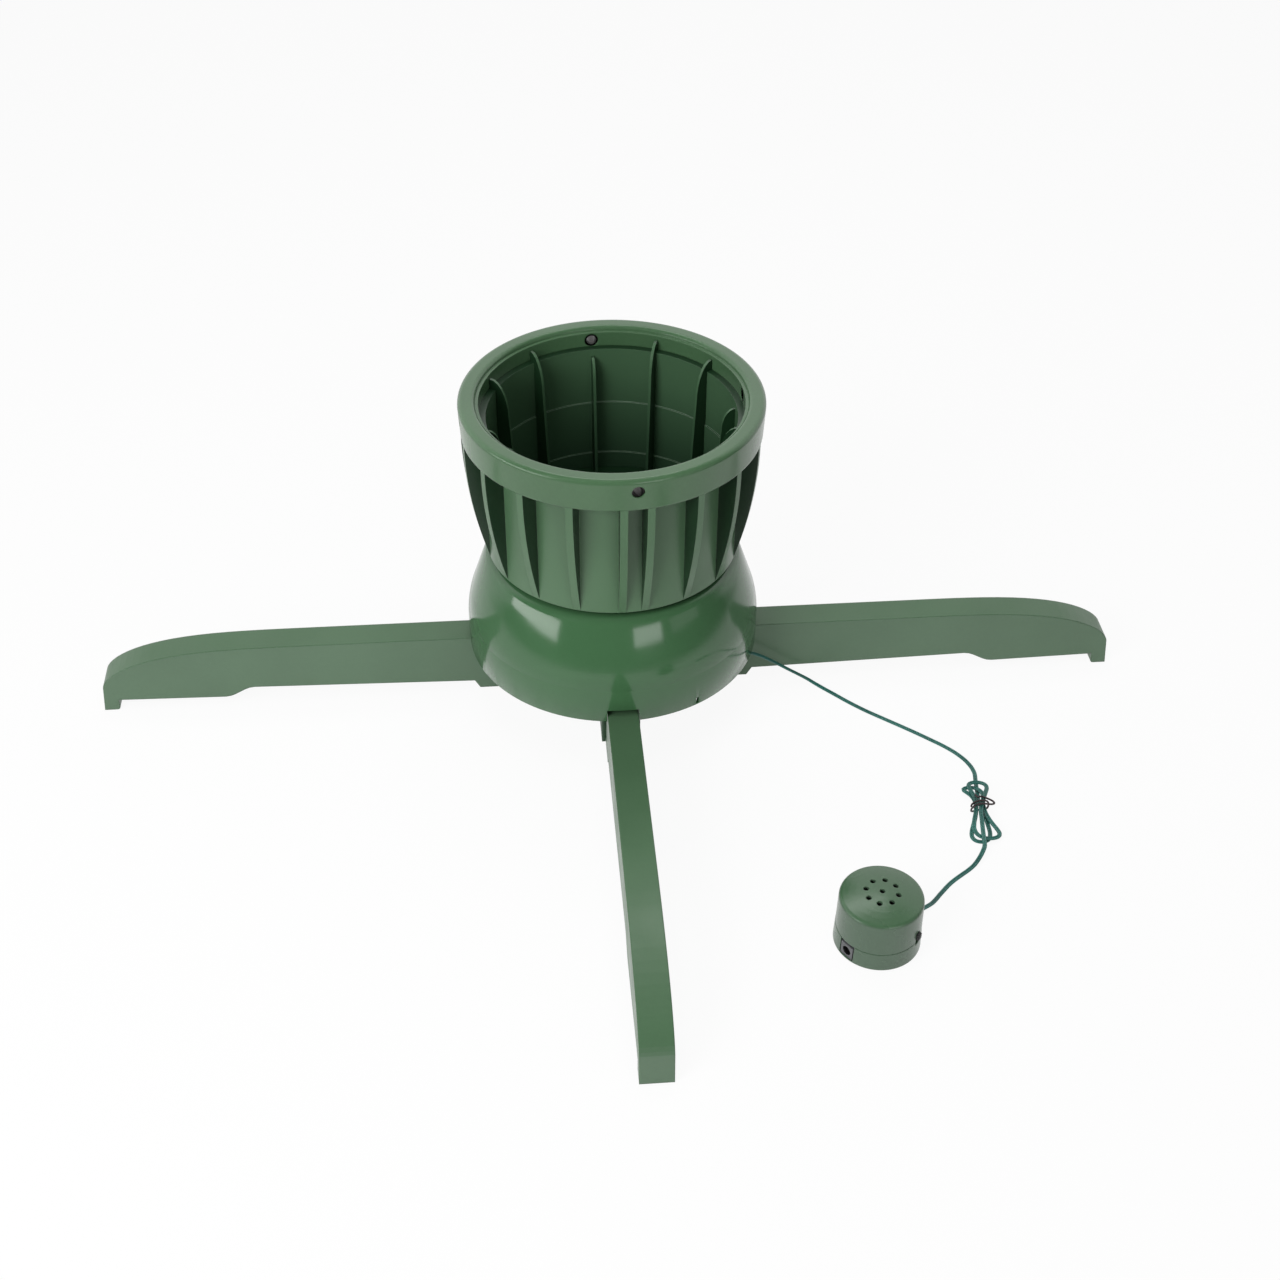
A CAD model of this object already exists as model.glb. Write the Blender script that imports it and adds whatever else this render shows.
"""Looks of the rotating tree stand: camera, cord, moulded plastics, metals, floor and light."""

import math

import bmesh
import bpy
from mathutils import Matrix, Vector


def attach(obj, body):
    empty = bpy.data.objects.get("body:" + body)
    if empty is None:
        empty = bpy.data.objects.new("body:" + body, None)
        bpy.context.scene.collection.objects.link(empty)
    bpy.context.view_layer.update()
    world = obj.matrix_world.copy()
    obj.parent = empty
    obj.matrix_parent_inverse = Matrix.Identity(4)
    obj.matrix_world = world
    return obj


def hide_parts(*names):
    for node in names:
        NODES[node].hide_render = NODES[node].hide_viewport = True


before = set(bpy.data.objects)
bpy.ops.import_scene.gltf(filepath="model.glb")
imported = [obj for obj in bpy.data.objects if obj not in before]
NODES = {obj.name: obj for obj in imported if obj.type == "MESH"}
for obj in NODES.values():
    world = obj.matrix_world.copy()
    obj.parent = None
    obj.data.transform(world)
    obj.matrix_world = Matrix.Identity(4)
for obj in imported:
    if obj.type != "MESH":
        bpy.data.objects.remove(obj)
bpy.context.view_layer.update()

MM = 0.001

# ---------------------------------------------------------------- camera

CAMERA_AT = Vector((-67.9, -1010.0, 859.0)) * MM
CAMERA_TURN = math.radians(4.947)
CAMERA_DOWN = math.radians(39.179)
CAMERA_ROLL = math.radians(-0.453)
FOCAL_PIXELS = 1819.5
PHOTO_PIXELS = 1280
SENSOR = 36.0


def make_camera():
    forward = Vector((
        math.sin(CAMERA_TURN) * math.cos(CAMERA_DOWN),
        math.cos(CAMERA_TURN) * math.cos(CAMERA_DOWN),
        -math.sin(CAMERA_DOWN),
    ))
    level = Vector((math.cos(CAMERA_TURN), -math.sin(CAMERA_TURN), 0))
    down = forward.cross(level)
    right = math.cos(CAMERA_ROLL) * level + math.sin(CAMERA_ROLL) * down
    up = math.sin(CAMERA_ROLL) * level - math.cos(CAMERA_ROLL) * down
    data = bpy.data.cameras.new("camera")
    data.sensor_fit = "HORIZONTAL"
    data.sensor_width = SENSOR
    data.lens = SENSOR * FOCAL_PIXELS / PHOTO_PIXELS
    camera = bpy.data.objects.new("camera", data)
    turn = Matrix((right, up, -forward)).transposed().to_4x4()
    camera.matrix_world = Matrix.Translation(CAMERA_AT) @ turn
    bpy.context.scene.collection.objects.link(camera)
    bpy.context.scene.camera = camera


# ---------------------------------------------------------------- mesh helpers

def mesh_object(name, verts, faces):
    mesh = bpy.data.meshes.new(name)
    mesh.from_pydata([tuple(v) for v in verts], [], faces)
    mesh.validate()
    mesh.shade_smooth()
    piece = bpy.data.objects.new(name, mesh)
    bpy.context.scene.collection.objects.link(piece)
    return piece


def spline_points(points, step):
    """Points along a smooth line through the given ones, about a step apart."""
    out = []
    last = len(points) - 1
    for i in range(last):
        a, b, c, d = (points[max(i - 1, 0)], points[i], points[i + 1], points[min(i + 2, last)])
        count = max(1, round((c - b).length / step))
        for k in range(count):
            t = k / count
            out.append(0.5 * (
                2 * b + (c - a) * t + (2 * a - 5 * b + 4 * c - d) * t * t
                + (3 * b - a - 3 * c + d) * t ** 3
            ))
    out.append(points[-1])
    return out


def headings(points):
    """The direction of a line at each of its points."""
    last = len(points) - 1
    return [(points[min(i + 1, last)] - points[max(i - 1, 0)]).normalized()
            for i in range(last + 1)]


def sweep(points, section):
    """Vertices and faces of a closed tube: section is a list of (across, up) offsets."""
    verts, faces = [], []
    n = len(section)
    for p, ahead in zip(points, headings(points)):
        side = ahead.cross(Vector((0, 0, 1))).normalized()
        up = side.cross(ahead)
        verts += [p + side * s + up * u for s, u in section]
    for i in range(len(points) - 1):
        for k in range(n):
            a, b = i * n + k, i * n + (k + 1) % n
            faces.append((a, b, b + n, a + n))
    faces.append(tuple(reversed(range(n))))
    faces.append(tuple(range((len(points) - 1) * n, len(points) * n)))
    return verts, faces


def circle(radius, sides):
    return [(radius * math.cos(2 * math.pi * k / sides),
             radius * math.sin(2 * math.pi * k / sides)) for k in range(sides)]


# ---------------------------------------------------------------- cord

# CORD_W is the lead's width in the CAD. LEAD_W is the wider one over the modelled strands.
CORD_T = 1.4 * MM
LEAD_W = 3.0 * MM
STRAND_R = 0.7 * MM
WEB_T = 0.45 * MM
STRAND_SIDES = 10
CORD_STEP = 1.4 * MM
TIE_STEP = 0.6 * MM
TIE_SIDES = 10

# The cord's route in the part's source, in millimetres, before and after the hank
STAND_ROUTE = [
    (90, -19.5, 33.6), (94.5, -19.4, 33), (99, -19.1, 31.2), (104.5, -18.7, 28.4),
    (112, -18.5, 23.6), (119.5, -18.4, 18.4), (127, -18.4, 13.2), (133.5, -18.3, 8.7),
    (139.5, -18.9, 4.9), (145, -21.2, 2.1), (150.5, -25.6, 0.9), (158, -33.2, 0.7),
    (166.5, -42.2, 0.7), (177, -52.2, 0.7), (188, -61.4, 0.7), (199, -70.5, 0.7),
    (208, -78.1, 0.7), (216, -85.2, 0.7), (223.6, -92.1, 0.7), (229.8, -98.7, 0.7),
    (233.7, -103.9, 0.7), (236.8, -109.2, 0.7), (239, -115, 0.7), (239.8, -119, 0.7),
    (240.03, -122.83, 0.7),
]
POD_ROUTE = [
    (230.01, -194.13, 5.1), (228.5, -197.7, 4.8), (226.2, -201.3, 3.8), (223.4, -204.8, 2.5),
    (220, -208.2, 1.3), (215.7, -211.6, 0.8), (210.9, -215, 0.7), (206.5, -218.2, 0.7),
    (202.5, -221.4, 0.7), (199.1, -224.6, 0.7), (196, -227.9, 0.7), (192.9, -231.2, 0.7),
    (189.6, -235, 0.8), (186, -238.8, 1.3), (181.6, -242.4, 2.5), (177, -245.6, 3.5),
    (172.85, -248, 3.6),
]

# The hank, in millimetres and as in the part's source: where it lies, then each loop's
# length, bulge and lean in degrees, and how its runs climb over each other
HANK_X, HANK_Y = 235.3, -156.5
HANK_TILT = math.radians(8)
HANK_TURNS = 2
LOOP_LENGTH = (31.0, 18.5, 30.0, 21.0)
LOOP_BULGE = (12.0, 9.0, 16.0, 12.0)
LOOP_LEAN = (3, -24, -12, -1)
HANK_WAIST = 2.4
HANK_PITCH = 2.2
HANK_LIFT, HANK_LIFT_REACH = 1.7, 24.0
HANK_ENTRY, HANK_EXIT = 34.0, 38.0
HANK_JOIN_IN, HANK_JOIN_OUT = 6.0, 7.0
HANK_JOIN_STEP, HANK_JOIN_SHARE = 1.0, 0.8
HANK_RINGS, HANK_JOIN_RINGS = 24, 4
HANK_START = 0.25
HANK_CLIMB, HANK_CLIMB_AT = 90.0, 270.0
TIE_W = 2.6
TIE_T = 1.3


def smooth_step(x):
    c = max(0.0, min(1.0, x))
    return c * c * (3 - 2 * c)


def hank_level(t):
    """Turns already climbed after t turns: each climb is short, late in its turn."""
    turn = math.floor(t)
    past = (t - turn) * 360 - (HANK_CLIMB_AT - HANK_CLIMB / 2)
    return turn + smooth_step(past / HANK_CLIMB)


def hank_height(s, level):
    """Height of a run at s along the hank: it rises over the waist."""
    rise = HANK_LIFT * (1 - smooth_step((abs(s) - TIE_W) / HANK_LIFT_REACH))
    return CORD_T / MM / 2 + rise + HANK_PITCH * level


def loop_point(t):
    """Place along and across the hank after t turns."""
    a = 2 * math.pi * t
    loop = min(2 * HANK_TURNS, math.floor(2 * t + 0.5)) - 1
    along = -math.cos(a) * LOOP_LENGTH[loop]
    side = math.sin(a) * (HANK_WAIST + LOOP_BULGE[loop] * math.cos(a) ** 2)
    turn = math.radians(LOOP_LEAN[loop]) * math.cos(a) ** 2
    return (along * math.cos(turn) + side * math.sin(turn),
            side * math.cos(turn) - along * math.sin(turn))


def hank_place(s, w, z):
    """Place in the frame of a point s along, w across and z above."""
    return (HANK_X - s * math.sin(HANK_TILT) + w * math.cos(HANK_TILT),
            HANK_Y - s * math.cos(HANK_TILT) - w * math.sin(HANK_TILT), z)


def hank_route():
    """Into the hank along its middle, round its loops and out again."""
    out = []
    for i in range(HANK_JOIN_RINGS + 1):
        s = -HANK_ENTRY + (HANK_ENTRY - HANK_JOIN_IN) * i / HANK_JOIN_RINGS
        out.append(hank_place(s, 0, hank_height(s, 0)))
    s, w = loop_point(HANK_START)
    out.append(hank_place(s + HANK_JOIN_STEP, w * HANK_JOIN_SHARE, hank_height(s, 0)))
    for i in range(1, HANK_RINGS * HANK_TURNS):
        t = HANK_START + i / HANK_RINGS
        s, w = loop_point(t)
        out.append(hank_place(s, w, hank_height(s, hank_level(t))))
    s, w = loop_point(HANK_TURNS + HANK_START)
    out.append(hank_place(s - HANK_JOIN_STEP, w * HANK_JOIN_SHARE, hank_height(s, HANK_TURNS)))
    for i in range(HANK_JOIN_RINGS + 1):
        s = HANK_JOIN_OUT + (HANK_EXIT - HANK_JOIN_OUT) * i / HANK_JOIN_RINGS
        out.append(hank_place(s, 0, hank_height(s, HANK_TURNS)))
    return out


def make_cord():
    """The twin lead: two round strands joined by a web, in one piece from stand to pod."""
    route = STAND_ROUTE[:-1] + hank_route() + POD_ROUTE[1:]
    points = spline_points([Vector(p) * MM for p in route], CORD_STEP)
    offset = LEAD_W / 2 - STRAND_R
    web_angle = math.degrees(math.asin(WEB_T / 2 / STRAND_R))
    arc = [math.radians(180 - web_angle - (360 - 2 * web_angle) * k / STRAND_SIDES)
           for k in range(STRAND_SIDES + 1)]
    right = [(offset + STRAND_R * math.cos(a), STRAND_R * math.sin(a)) for a in arc]
    left = [(-x, -y) for x, y in right]
    verts, faces = sweep(points, list(reversed(right + left)))
    lead = mesh_object("twin_lead", verts, faces)
    lead.data.materials.append(cord_material())
    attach(lead, "stand_base")
    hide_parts("cord_lead_stand", "cord_hank", "cord_lead_pod")
    length = sum((b - a).length for a, b in zip(points, points[1:]))
    return lead, points, length


# The tie's wire in the hank's own axes: across, along, up
TIE_ROUTE = [
    (-3, -6, 8.1), (-1.5, -3.6, 8.3), (1, -4.2, 8.4), (5, -3, 7.9), (8.2, -1.6, 7.3), (9.5, 0.2, 7),
    (8.2, 1.6, 7.3), (6, 2.2, 7.7), (1, 2.6, 8.4), (-3, 3.8, 8.1), (-5.4, 4.6, 6), (-5.9, 4.4, 3.5),
    (-4.8, 3, 1.1), (0, 1, 0.8), (4.6, 0, 1.2), (5.9, -0.6, 3.5), (5.5, -0.8, 6.4), (3, -0.6, 8.3),
    (-2, 0.4, 8.4), (-5.2, 1.4, 6.4), (-5.8, 2, 4.4),
]


def make_tie():
    """A wire tie wound round the waist, its end bent out to an eye and back."""
    points = [Vector(hank_place(s, w, z)) * MM for w, s, z in TIE_ROUTE]
    verts, faces = sweep(spline_points(points, TIE_STEP), circle(TIE_T * MM / 2, TIE_SIDES))
    tie = mesh_object("wire_tie", verts, faces)
    tie.data.materials.append(tie_material())
    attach(tie, "stand_base")
    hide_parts("twist_tie")
    return tie


# ---------------------------------------------------------------- material helpers

def linear(hex_colour):
    """Scene-linear colour of a written one."""
    out = []
    for i in (1, 3, 5):
        c = int(hex_colour[i:i + 2], 16) / 255
        out.append(c / 12.92 if c <= 0.04045 else ((c + 0.055) / 1.055) ** 2.4)
    return (*out, 1.0)


def scaled(colour, factor):
    return (*(min(1.0, c * factor) for c in colour[:3]), 1.0)


def feed(tree, socket, value):
    """Links an output to a socket, or sets the socket's own value."""
    if isinstance(value, bpy.types.NodeSocket):
        tree.links.new(value, socket)
    else:
        socket.default_value = value


class Nodes:
    """A material's node tree, with short calls to add and link nodes."""

    def __init__(self, name):
        self.material = bpy.data.materials.new(name)
        self.material.use_nodes = True
        self.tree = self.material.node_tree
        self.surface = self.tree.nodes["Principled BSDF"]
        place = self.add("ShaderNodeTexCoord")
        self.coords = place.outputs["Object"]
        self.normal = place.outputs["Normal"]

    def add(self, kind, **values):
        node = self.tree.nodes.new(kind)
        for key, value in values.items():
            setattr(node, key, value)
        return node

    def link(self, source, target):
        self.tree.links.new(source, target)

    def math(self, operation, *values):
        node = self.add("ShaderNodeMath", operation=operation)
        for socket, value in zip(node.inputs, values):
            feed(self.tree, socket, value)
        return node.outputs[0]

    def vector(self, operation, *values):
        node = self.add("ShaderNodeVectorMath", operation=operation)
        for socket, value in zip(node.inputs, values):
            feed(self.tree, socket, value)
        return node.outputs["Value" if operation in ("LENGTH", "DOT_PRODUCT") else "Vector"]

    def axis(self, vector, letter):
        node = self.add("ShaderNodeSeparateXYZ")
        self.link(vector, node.inputs[0])
        return node.outputs[letter]

    def noise(self, scale, detail=2.0, rough=0.5, stretch=None):
        node = self.add("ShaderNodeTexNoise")
        node.inputs["Scale"].default_value = scale
        node.inputs["Detail"].default_value = detail
        node.inputs["Roughness"].default_value = rough
        source = self.coords
        if stretch:
            mapping = self.add("ShaderNodeMapping")
            mapping.inputs["Scale"].default_value = stretch
            self.link(self.coords, mapping.inputs["Vector"])
            source = mapping.outputs["Vector"]
        self.link(source, node.inputs["Vector"])
        return node.outputs["Fac"]

    def spread(self, value, low, high, start=0.3, end=0.7):
        """Maps start..end to low..high, and holds beyond; start and end suit a noise."""
        node = self.add("ShaderNodeMapRange")
        node.inputs["From Min"].default_value = start
        node.inputs["From Max"].default_value = end
        node.inputs["To Min"].default_value = low
        node.inputs["To Max"].default_value = high
        self.link(value, node.inputs["Value"])
        return node.outputs["Result"]

    def blend(self, factor, a, b):
        """Colour a where the factor is 0, b where it is 1."""
        node = self.add("ShaderNodeMix", data_type="RGBA")
        feed(self.tree, node.inputs[0], factor)
        feed(self.tree, node.inputs[6], a)
        feed(self.tree, node.inputs[7], b)
        return node.outputs[2]

    def tint(self, colour, level):
        """A colour times a level."""
        node = self.add("ShaderNodeVectorMath", operation="SCALE")
        written = not isinstance(colour, bpy.types.NodeSocket)
        feed(self.tree, node.inputs[0], colour[:3] if written else colour)
        self.link(level, node.inputs["Scale"])
        return node.outputs[0]

    def rounded(self, radius):
        """Shading of sharp edges as if rounded to a radius in millimetres."""
        node = self.add("ShaderNodeBevel", samples=6)
        node.inputs["Radius"].default_value = radius * MM
        return node.outputs["Normal"]

    def bump(self, height, depth, under=None):
        """Relief of a depth in metres, over the normals of an earlier one if given."""
        node = self.add("ShaderNodeBump")
        node.inputs["Distance"].default_value = depth
        node.inputs["Strength"].default_value = 1.0
        self.link(height, node.inputs["Height"])
        if under:
            self.link(under, node.inputs["Normal"])
        self.link(node.outputs["Normal"], self.surface.inputs["Normal"])
        return node.outputs["Normal"]

    def bulge(self, middle, reach, rise):
        """Shading bent as if the wall bulged by a rise, between reach below and above a height."""
        offset = self.spread(self.axis(self.coords, "Z"), -1.0, 1.0, middle - reach, middle + reach)
        return self.bump(self.math("MULTIPLY", self.math("MULTIPLY", offset, offset), -1.0), rise)

    def set(self, **values):
        """Sets or links inputs of the surface, named with _ for each space."""
        for key, value in values.items():
            feed(self.tree, self.surface.inputs[key.replace("_", " ")], value)


HAZED_GREEN = "#4b6c4d"

# Sizes of noises, as their scale per metre
CLOUDS, GLOSS, FLECKS, GRAIN = 14, 38, 420, 900


def moulded(name, colour, roughness, grain=0.006, mottle=0.08, spec=0.5, sides=None, edge=None,
            bulge=None):
    """Moulded plastic: faint clouding of the colour, uneven gloss, fine surface grain.
    sides is the colour of upright faces, edge the radius of rounded edges in millimetres."""
    n = Nodes(name)
    base = linear(colour)
    cloud = n.spread(n.noise(CLOUDS, 3), 0, 1)
    fleck = n.spread(n.noise(FLECKS, 2), 0, 1, 0.35, 0.65)
    if sides:
        upright = n.spread(n.axis(n.normal, "Z"), 1.0, 0.0, 0.2, 0.7)
        base = n.blend(upright, base, linear(sides))
    tone = n.tint(base, n.spread(cloud, 1 - mottle, 1 + mottle, 0, 1))
    tone = n.tint(tone, n.spread(fleck, 1.0, 1 + 0.5 * mottle, 0, 1))
    n.set(Base_Color=tone, Specular_IOR_Level=spec,
          Roughness=n.spread(n.noise(GLOSS, 4), roughness * 0.85, roughness * 1.2))
    under = n.bulge(*bulge) if bulge else n.rounded(edge) if edge else None
    n.bump(n.noise(GRAIN, 2), grain * MM * 4, under=under)
    return n.material


# The bucket: its colours, and in millimetres the heights of the steps inside its wall, the
# half width of their worn lines and where the wall begins, outside the inner ribs
FIN_SIDE, DEEP_INSIDE, HIGH_INSIDE, WORN = "#1b3520", "#34503a", "#47664a", "#a3bda5"
STEP_HEIGHTS = (183.0, 142.0)
WORN_HALF, WORN_FADE = 0.15, 0.3
WALL_FROM, WALL_FADE = 79.0, 1.0
DEEP_Z, HIGH_Z = 135.0, 215.0


def bucket_material():
    """Moulded green, deeper on the sides of fins and ribs and inside, with worn step edges."""
    n = Nodes("bucket_green")
    base = linear(HAZED_GREEN)
    cloud = n.spread(n.noise(CLOUDS, 3), 0, 1)
    tone = n.blend(cloud, scaled(base, 0.94), scaled(base, 1.06))

    # facing is 1 on faces that look away from the axis, -1 towards it and 0 along it
    flat = n.vector("MULTIPLY", n.coords, (1, 1, 0))
    facing = n.vector("DOT_PRODUCT", n.normal, n.vector("NORMALIZE", flat))
    side = n.spread(n.math("ABSOLUTE", facing), 1.0, 0.0, 0.15, 0.65)
    inside = n.spread(facing, 1.0, 0.0, -0.6, -0.1)
    height = n.axis(n.coords, "Z")
    deep = n.spread(height, 1.0, 0.0, DEEP_Z * MM, HIGH_Z * MM)
    tone = n.blend(side, tone, linear(FIN_SIDE))
    tone = n.blend(inside, tone, n.blend(deep, linear(HIGH_INSIDE), linear(DEEP_INSIDE)))

    reach = n.vector("LENGTH", flat)
    wall = n.spread(reach, 0.0, 0.6, WALL_FROM * MM, (WALL_FROM + WALL_FADE) * MM)
    wall_inside = n.math("MULTIPLY", wall, inside)
    for step in STEP_HEIGHTS:
        off = n.math("ABSOLUTE", n.math("SUBTRACT", height, step * MM))
        line = n.spread(off, 1.0, 0.0, WORN_HALF * MM, (WORN_HALF + WORN_FADE) * MM)
        tone = n.blend(n.math("MULTIPLY", line, wall_inside), tone, linear(WORN))
    n.set(Base_Color=tone, Roughness=n.spread(n.noise(GLOSS, 4), 0.29, 0.4), Specular_IOR_Level=0.5)
    n.bump(n.noise(GRAIN, 2), 0.024 * MM, under=n.rounded(0.5))
    return n.material


# The power socket's axis, as in the part's source: a point on it in millimetres, its
# direction in degrees, and the radius up to which it is dark
JACK_AT = (146.0, -263.5, 7.0)
JACK_ANGLE = math.radians(-146)
SOCKET_R, SOCKET_FADE = 3.15, 0.2


def jack_material():
    """Grey plastic, dark inside the round socket."""
    n = Nodes("jack_plastic")
    place = n.vector("SUBTRACT", n.coords, [v * MM for v in JACK_AT])
    off_axis = n.vector("LENGTH", n.vector(
        "CROSS_PRODUCT", place, (math.cos(JACK_ANGLE), math.sin(JACK_ANGLE), 0)))
    dark = n.spread(off_axis, 1.0, 0.0, SOCKET_R * MM, (SOCKET_R + SOCKET_FADE) * MM)
    tone = n.blend(n.spread(n.noise(300, 2), 0, 1), linear("#545558"), linear("#5f6063"))
    n.set(Base_Color=n.blend(dark, tone, linear("#101011")), Roughness=0.42)
    n.bump(n.noise(GRAIN, 2), 0.02 * MM)
    return n.material


def cord_material():
    """Dark green soft plastic."""
    n = Nodes("cord_pvc")
    base = linear("#2a655c")
    tone = n.blend(n.spread(n.noise(60, 3), 0, 1), scaled(base, 0.8), scaled(base, 1.25))
    n.set(Base_Color=tone, Roughness=n.spread(n.noise(300, 2), 0.28, 0.42))
    n.bump(n.noise(1400, 2), 0.03 * MM)
    return n.material


def tie_material():
    """Dark plastic over wire."""
    n = Nodes("tie_plastic")
    base = linear("#2c2022")
    tone = n.blend(n.spread(n.noise(500, 3), 0, 1), scaled(base, 0.7), scaled(base, 1.6))
    n.set(Base_Color=tone, Roughness=n.spread(n.noise(700, 2), 0.38, 0.55))
    n.bump(n.noise(1800, 3), 0.05 * MM)
    return n.material


STREAKS = (1, 1, 12)


def metal(name, colour, roughness):
    """Turned or plated metal with fine streaks and faint tarnish."""
    n = Nodes(name)
    base = linear(colour)
    tone = n.blend(n.spread(n.noise(120, 4), 0, 1), scaled(base, 0.82), scaled(base, 1.08))
    n.set(Base_Color=tone, Metallic=1.0,
          Roughness=n.spread(n.noise(500, 3, stretch=STREAKS), roughness * 0.7, roughness * 1.35))
    n.bump(n.noise(1500, 2, stretch=STREAKS), 0.01 * MM)
    return n.material


def rubber_material():
    """Soft black of the grommets."""
    n = Nodes("grommet_rubber")
    base = linear("#17181a")
    tone = n.blend(n.spread(n.noise(200, 4), 0, 1), scaled(base, 0.75), scaled(base, 1.35))
    n.set(Base_Color=tone, Roughness=n.spread(n.noise(320, 3), 0.527, 0.682))
    n.bump(n.noise(2200, 2), 0.03 * MM)
    return n.material


def board_material():
    """Solder mask with copper runs under it."""
    n = Nodes("board_mask")
    brick = n.add("ShaderNodeTexBrick")
    brick.inputs["Scale"].default_value = 160
    brick.inputs["Mortar Size"].default_value = 0.03
    brick.inputs["Color1"].default_value = linear("#1e5a34")
    brick.inputs["Color2"].default_value = linear("#246b3e")
    brick.inputs["Mortar"].default_value = linear("#4c8f58")
    n.link(n.coords, brick.inputs["Vector"])
    n.set(Base_Color=brick.outputs["Color"], Roughness=n.spread(n.noise(260, 3), 0.3, 0.45))
    n.bump(brick.outputs["Fac"], 0.03 * MM)
    return n.material


def cone_material():
    """Speaker paper: dark fibres."""
    n = Nodes("cone_paper")
    base = linear("#161617")
    tone = n.blend(n.spread(n.noise(700, 5, 0.7), 0, 1), scaled(base, 0.6), scaled(base, 2.0))
    n.set(Base_Color=tone, Roughness=n.spread(n.noise(400, 3), 0.75, 0.95))
    n.bump(n.noise(1300, 4, 0.7), 0.08 * MM)
    return n.material


# ---------------------------------------------------------------- finishes of the nodes

FINISHES = {
    "collar": lambda: moulded("collar_green", "#476748", 0.22, edge=1.2),
    "bucket": bucket_material,
    "dome": lambda: moulded("dome_green", "#406744", 0.13, grain=0.001, mottle=0.04,
                            bulge=(97 * MM, 25 * MM, 1.9 * MM)),
    "leg": lambda: moulded("leg_green", "#4b6a4d", 0.36, grain=0.003, mottle=0.05, spec=0.38,
                           sides="#5a735c", edge=1.5),
    "pan": lambda: moulded("pan_green", "#33533a", 0.42),
    "pod": lambda: moulded("pod_green", "#456448", 0.26, sides="#4d6350", edge=0.8),
    "steel": lambda: metal("zinc_steel", "#b9bcbe", 0.32),
    "bright": lambda: metal("bright_steel", "#d5d7d9", 0.12),
    "pin": lambda: metal("shaded_steel", "#242427", 0.4),
    "insert": lambda: metal("insert_steel", "#3d3c3b", 0.3),
    "bronze": lambda: metal("sintered_bronze", "#a37c4b", 0.42),
    "gear": lambda: moulded("gear_white", "#d9d9d2", 0.42, mottle=0.03),
    "cage": lambda: moulded("cage_tan", "#b99f72", 0.45, mottle=0.06),
    "black": lambda: moulded("black_plastic", "#1a1a1b", 0.38, mottle=0.15),
    "jack": jack_material,
    "rubber": rubber_material,
    "cord": cord_material,
    "board": board_material,
    "cone": cone_material,
}

NODE_FINISH = {
    "rim_collar": "collar", "bucket": "bucket", "bucket_floor": "bucket", "dome_cover": "dome",
    "leg_front": "leg", "leg_right": "leg", "leg_back": "leg", "leg_left": "leg",
    "base_pan": "pan", "pod_cap": "pod", "pod_base": "pod",
    "leg_screws": "steel", "cover_screws": "steel", "motor_screws": "steel",
    "bucket_screws": "steel", "pod_screws": "steel", "spindle_bolt": "steel",
    "spindle_washer": "steel", "spindle_nut": "steel", "drive_motor": "steel",
    "speaker_basket": "steel", "switch_body": "steel", "lower_race": "bright",
    "upper_race": "bright", "bearing_balls": "bright", "motor_shaft": "bright",
    "jack_pin": "pin", "threaded_inserts": "insert", "spindle_bush": "bronze",
    "drive_gear": "gear", "pinion": "gear", "ball_cage": "cage", "dc_jack": "jack",
    "switch_knob": "black", "cord_grommet": "rubber", "pod_grommet": "rubber",
    "circuit_board": "board", "speaker_cone": "cone", "inner_lead": "cord",
}

# Width, in millimetres, of the edges that are softened by a modifier and not in the shading
EDGE_MM = {
    "dome_cover": 0.4, "base_pan": 0.4, "dc_jack": 0.25, "switch_knob": 0.2, "drive_gear": 0.2,
}
WELD_REACH = 0.002 * MM
EDGE_SEGMENTS = 2
EDGE_ANGLE = math.radians(32)


def soften_edges(node, width):
    """Joins the seams of the imported mesh for display and rounds its sharp edges."""
    piece = NODES[node]
    piece.data.shade_smooth()
    weld = piece.modifiers.new("weld", "WELD")
    weld.merge_threshold = WELD_REACH
    bevel = piece.modifiers.new("edges", "BEVEL")
    bevel.width = width * MM
    bevel.segments = EDGE_SEGMENTS
    bevel.limit_method = "ANGLE"
    bevel.angle_limit = EDGE_ANGLE
    bevel.harden_normals = True
    bevel.use_clamp_overlap = True


def dress_nodes():
    """Gives every CAD node its material, one for all nodes of a finish."""
    made = {}
    for node, finish in NODE_FINISH.items():
        if finish not in made:
            made[finish] = FINISHES[finish]()
        mesh = NODES[node].data
        mesh.materials.clear()
        mesh.materials.append(made[finish])
        if node in EDGE_MM:
            soften_edges(node, EDGE_MM[node])


# ---------------------------------------------------------------- floor, world, lights

# The floor shines white to the camera, with a share left for the stand's shadow. Shiny parts
# see it as a sheet of paper: bright up to PAPER_END and behind the stand, dark farther in front.
FLOOR_R = 4.0
FLOOR_SEGMENTS = 96
FLOOR_DROP = 0.0002
FLOOR_GREY = (0.86, 0.86, 0.86, 1.0)
FLOOR_GLOW_SHARE = 0.93
PAPER_END, PAPER_FADE = 0.42, 0.2
ROOM_FLOOR = 0.04
WHITE = (1.0, 1.0, 1.0, 1.0)


def ray_kinds(tree, *kinds):
    """A value of one for any of the named kinds of ray."""
    path = tree.nodes.new("ShaderNodeLightPath")
    total = path.outputs[kinds[0]]
    for kind in kinds[1:]:
        node = tree.nodes.new("ShaderNodeMath")
        node.operation = "ADD"
        node.use_clamp = True
        tree.links.new(total, node.inputs[0])
        tree.links.new(path.outputs[kind], node.inputs[1])
        total = node.outputs[0]
    return total


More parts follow.
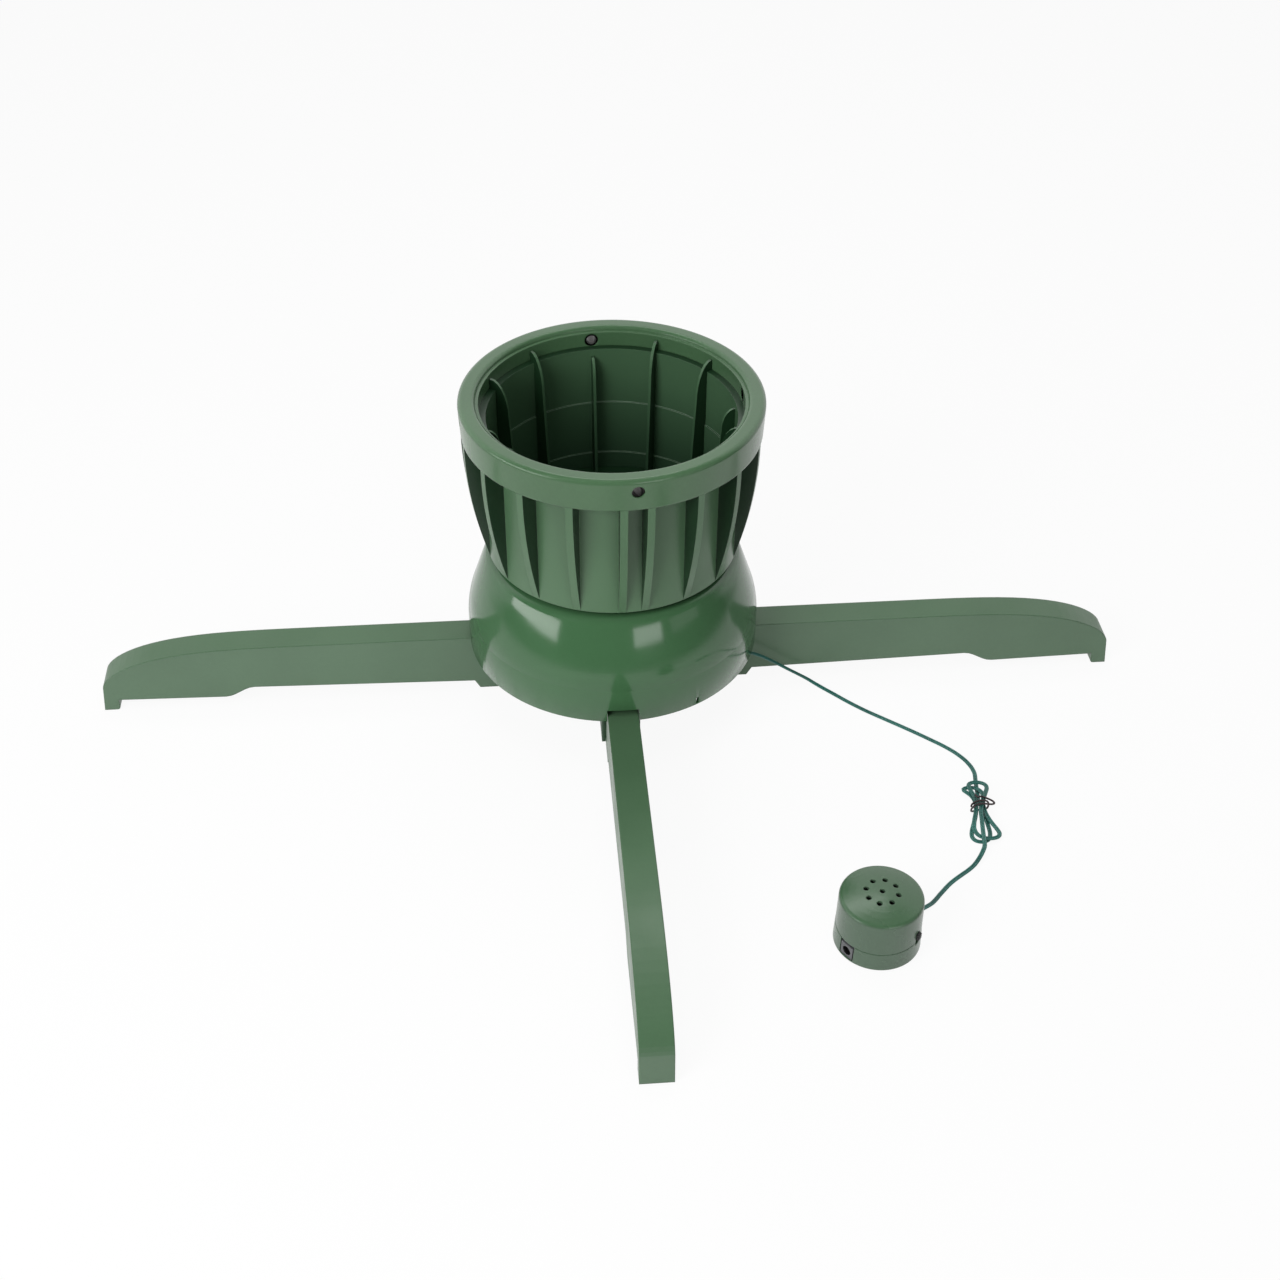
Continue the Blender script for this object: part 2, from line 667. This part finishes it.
def make_floor():
    mesh = bpy.data.meshes.new("floor")
    form = bmesh.new()
    bmesh.ops.create_circle(form, cap_ends=True, segments=FLOOR_SEGMENTS, radius=FLOOR_R)
    form.to_mesh(mesh)
    form.free()
    floor = bpy.data.objects.new("floor", mesh)
    bpy.context.scene.collection.objects.link(floor)
    n = Nodes("floor_white")
    n.set(Base_Color=FLOOR_GREY, Roughness=0.7, Specular_IOR_Level=0.1)
    glow = n.add("ShaderNodeEmission")
    glow.inputs["Color"].default_value = WHITE

    away = n.vector("LENGTH", n.coords)
    near = n.spread(away, 1.0, ROOM_FLOOR, PAPER_END, PAPER_END + PAPER_FADE)
    behind = n.spread(n.axis(n.coords, "Y"), 0.0, 1.0, 0.0, PAPER_FADE)
    level = n.add("ShaderNodeMix", data_type="FLOAT")
    n.link(ray_kinds(n.tree, "Is Glossy Ray"), level.inputs[0])
    level.inputs[2].default_value = 1.0
    n.link(n.math("MAXIMUM", near, behind), level.inputs[3])
    n.link(level.outputs[0], glow.inputs["Strength"])

    mix = n.add("ShaderNodeMixShader")
    seen = ray_kinds(n.tree, "Is Camera Ray", "Is Glossy Ray", "Is Transmission Ray")
    n.link(n.math("MULTIPLY", seen, FLOOR_GLOW_SHARE), mix.inputs[0])
    n.link(n.surface.outputs[0], mix.inputs[1])
    n.link(glow.outputs[0], mix.inputs[2])
    n.link(mix.outputs[0], n.tree.nodes["Material Output"].inputs["Surface"])
    mesh.materials.append(n.material)
    floor.location.z = -FLOOR_DROP


# The world's levels: on matt surfaces, and what shiny ones see of the backdrop and the room.
# The backdrop begins at a direction's Y and ends towards its Z.
AMBIENT = 0.22
BACKDROP_LEVEL = 1.3
ROOM_LEVEL = 0.1
BACKDROP_Y = (-0.15, 0.35)
BACKDROP_Z = (0.74, 0.92)


def make_world():
    world = bpy.data.worlds.new("studio")
    world.use_nodes = True
    tree = world.node_tree
    tree.nodes.clear()
    out = tree.nodes.new("ShaderNodeOutputWorld")

    def background(strength):
        node = tree.nodes.new("ShaderNodeBackground")
        node.inputs["Strength"].default_value = strength
        node.inputs["Color"].default_value = WHITE
        return node

    def ramp(value, start, end, low, high):
        node = tree.nodes.new("ShaderNodeMapRange")
        node.interpolation_type = "SMOOTHSTEP"
        limits = {"From Min": start, "From Max": end, "To Min": low, "To Max": high}
        for name, number in limits.items():
            feed(tree, node.inputs[name], number)
        tree.links.new(value, node.inputs["Value"])
        return node.outputs["Result"]

    # what shiny surfaces see: a bright backdrop behind the stand, a dark room over and before it
    coords = tree.nodes.new("ShaderNodeTexCoord")
    split = tree.nodes.new("ShaderNodeSeparateXYZ")
    tree.links.new(coords.outputs["Generated"], split.inputs[0])
    backdrop = ramp(split.outputs["Y"], *BACKDROP_Y, ROOM_LEVEL, BACKDROP_LEVEL)
    room_level = ramp(split.outputs["Z"], *BACKDROP_Z, backdrop, ROOM_LEVEL)
    room = background(1.0)
    tree.links.new(room_level, room.inputs["Color"])

    glossy = tree.nodes.new("ShaderNodeMixShader")
    tree.links.new(ray_kinds(tree, "Is Glossy Ray", "Is Transmission Ray"), glossy.inputs[0])
    tree.links.new(background(AMBIENT).outputs[0], glossy.inputs[1])
    tree.links.new(room.outputs[0], glossy.inputs[2])
    camera = tree.nodes.new("ShaderNodeMixShader")
    tree.links.new(ray_kinds(tree, "Is Camera Ray"), camera.inputs[0])
    tree.links.new(glossy.outputs[0], camera.inputs[1])
    tree.links.new(background(1.0).outputs[0], camera.inputs[2])
    tree.links.new(camera.outputs[0], out.inputs["Surface"])
    bpy.context.scene.world = world


# Soft boxes. Azimuth is from the front (-Y) towards +X, the rest is in degrees, metres and
# radiance. shiny: shiny parts reflect it. matt: it lights matt surfaces.
LAMP_TARGET = Vector((0, 0, 0.12))
LAMPS = (
    # name, azimuth, elevation, distance, size, radiance, shiny, matt
    ("key_box", -45, 30, 1.6, (0.8, 0.8), 7.8, False, True),
    ("overhead_box", 0, 78, 1.4, (0.9, 0.9), 2.2, False, True),
    ("top_box", 180, 68, 1.6, (1.0, 0.5), 3.4, True, True),
    ("left_window", -68, 6, 1.6, (1.3, 0.42), 5.5, True, False),
    ("right_window", 23, 7, 1.6, (0.62, 0.36), 3.8, True, True),
    ("far_right_window", 54, 7, 1.6, (0.7, 0.36), 0.6, True, True),
)


def softbox(name, azimuth, elevation, distance, size, radiance, shiny, matt):
    a, e = math.radians(azimuth), math.radians(elevation)
    toward = Vector((math.sin(a) * math.cos(e), -math.cos(a) * math.cos(e), math.sin(e)))
    data = bpy.data.lights.new(name, "AREA")
    data.shape = "RECTANGLE"
    data.size, data.size_y = size
    data.energy = radiance * math.pi * size[0] * size[1]
    lamp = bpy.data.objects.new(name, data)
    lamp.location = LAMP_TARGET + distance * toward
    lamp.rotation_euler = (-toward).to_track_quat("-Z", "Y").to_euler()
    lamp.visible_glossy = shiny
    lamp.visible_diffuse = matt
    bpy.context.scene.collection.objects.link(lamp)


# ---------------------------------------------------------------- scene

make_camera()
lead, lead_points, lead_length = make_cord()
tie = make_tie()
dress_nodes()
make_floor()
make_world()
for lamp in LAMPS:
    softbox(*lamp)

bpy.context.scene.view_settings.view_transform = "Standard"
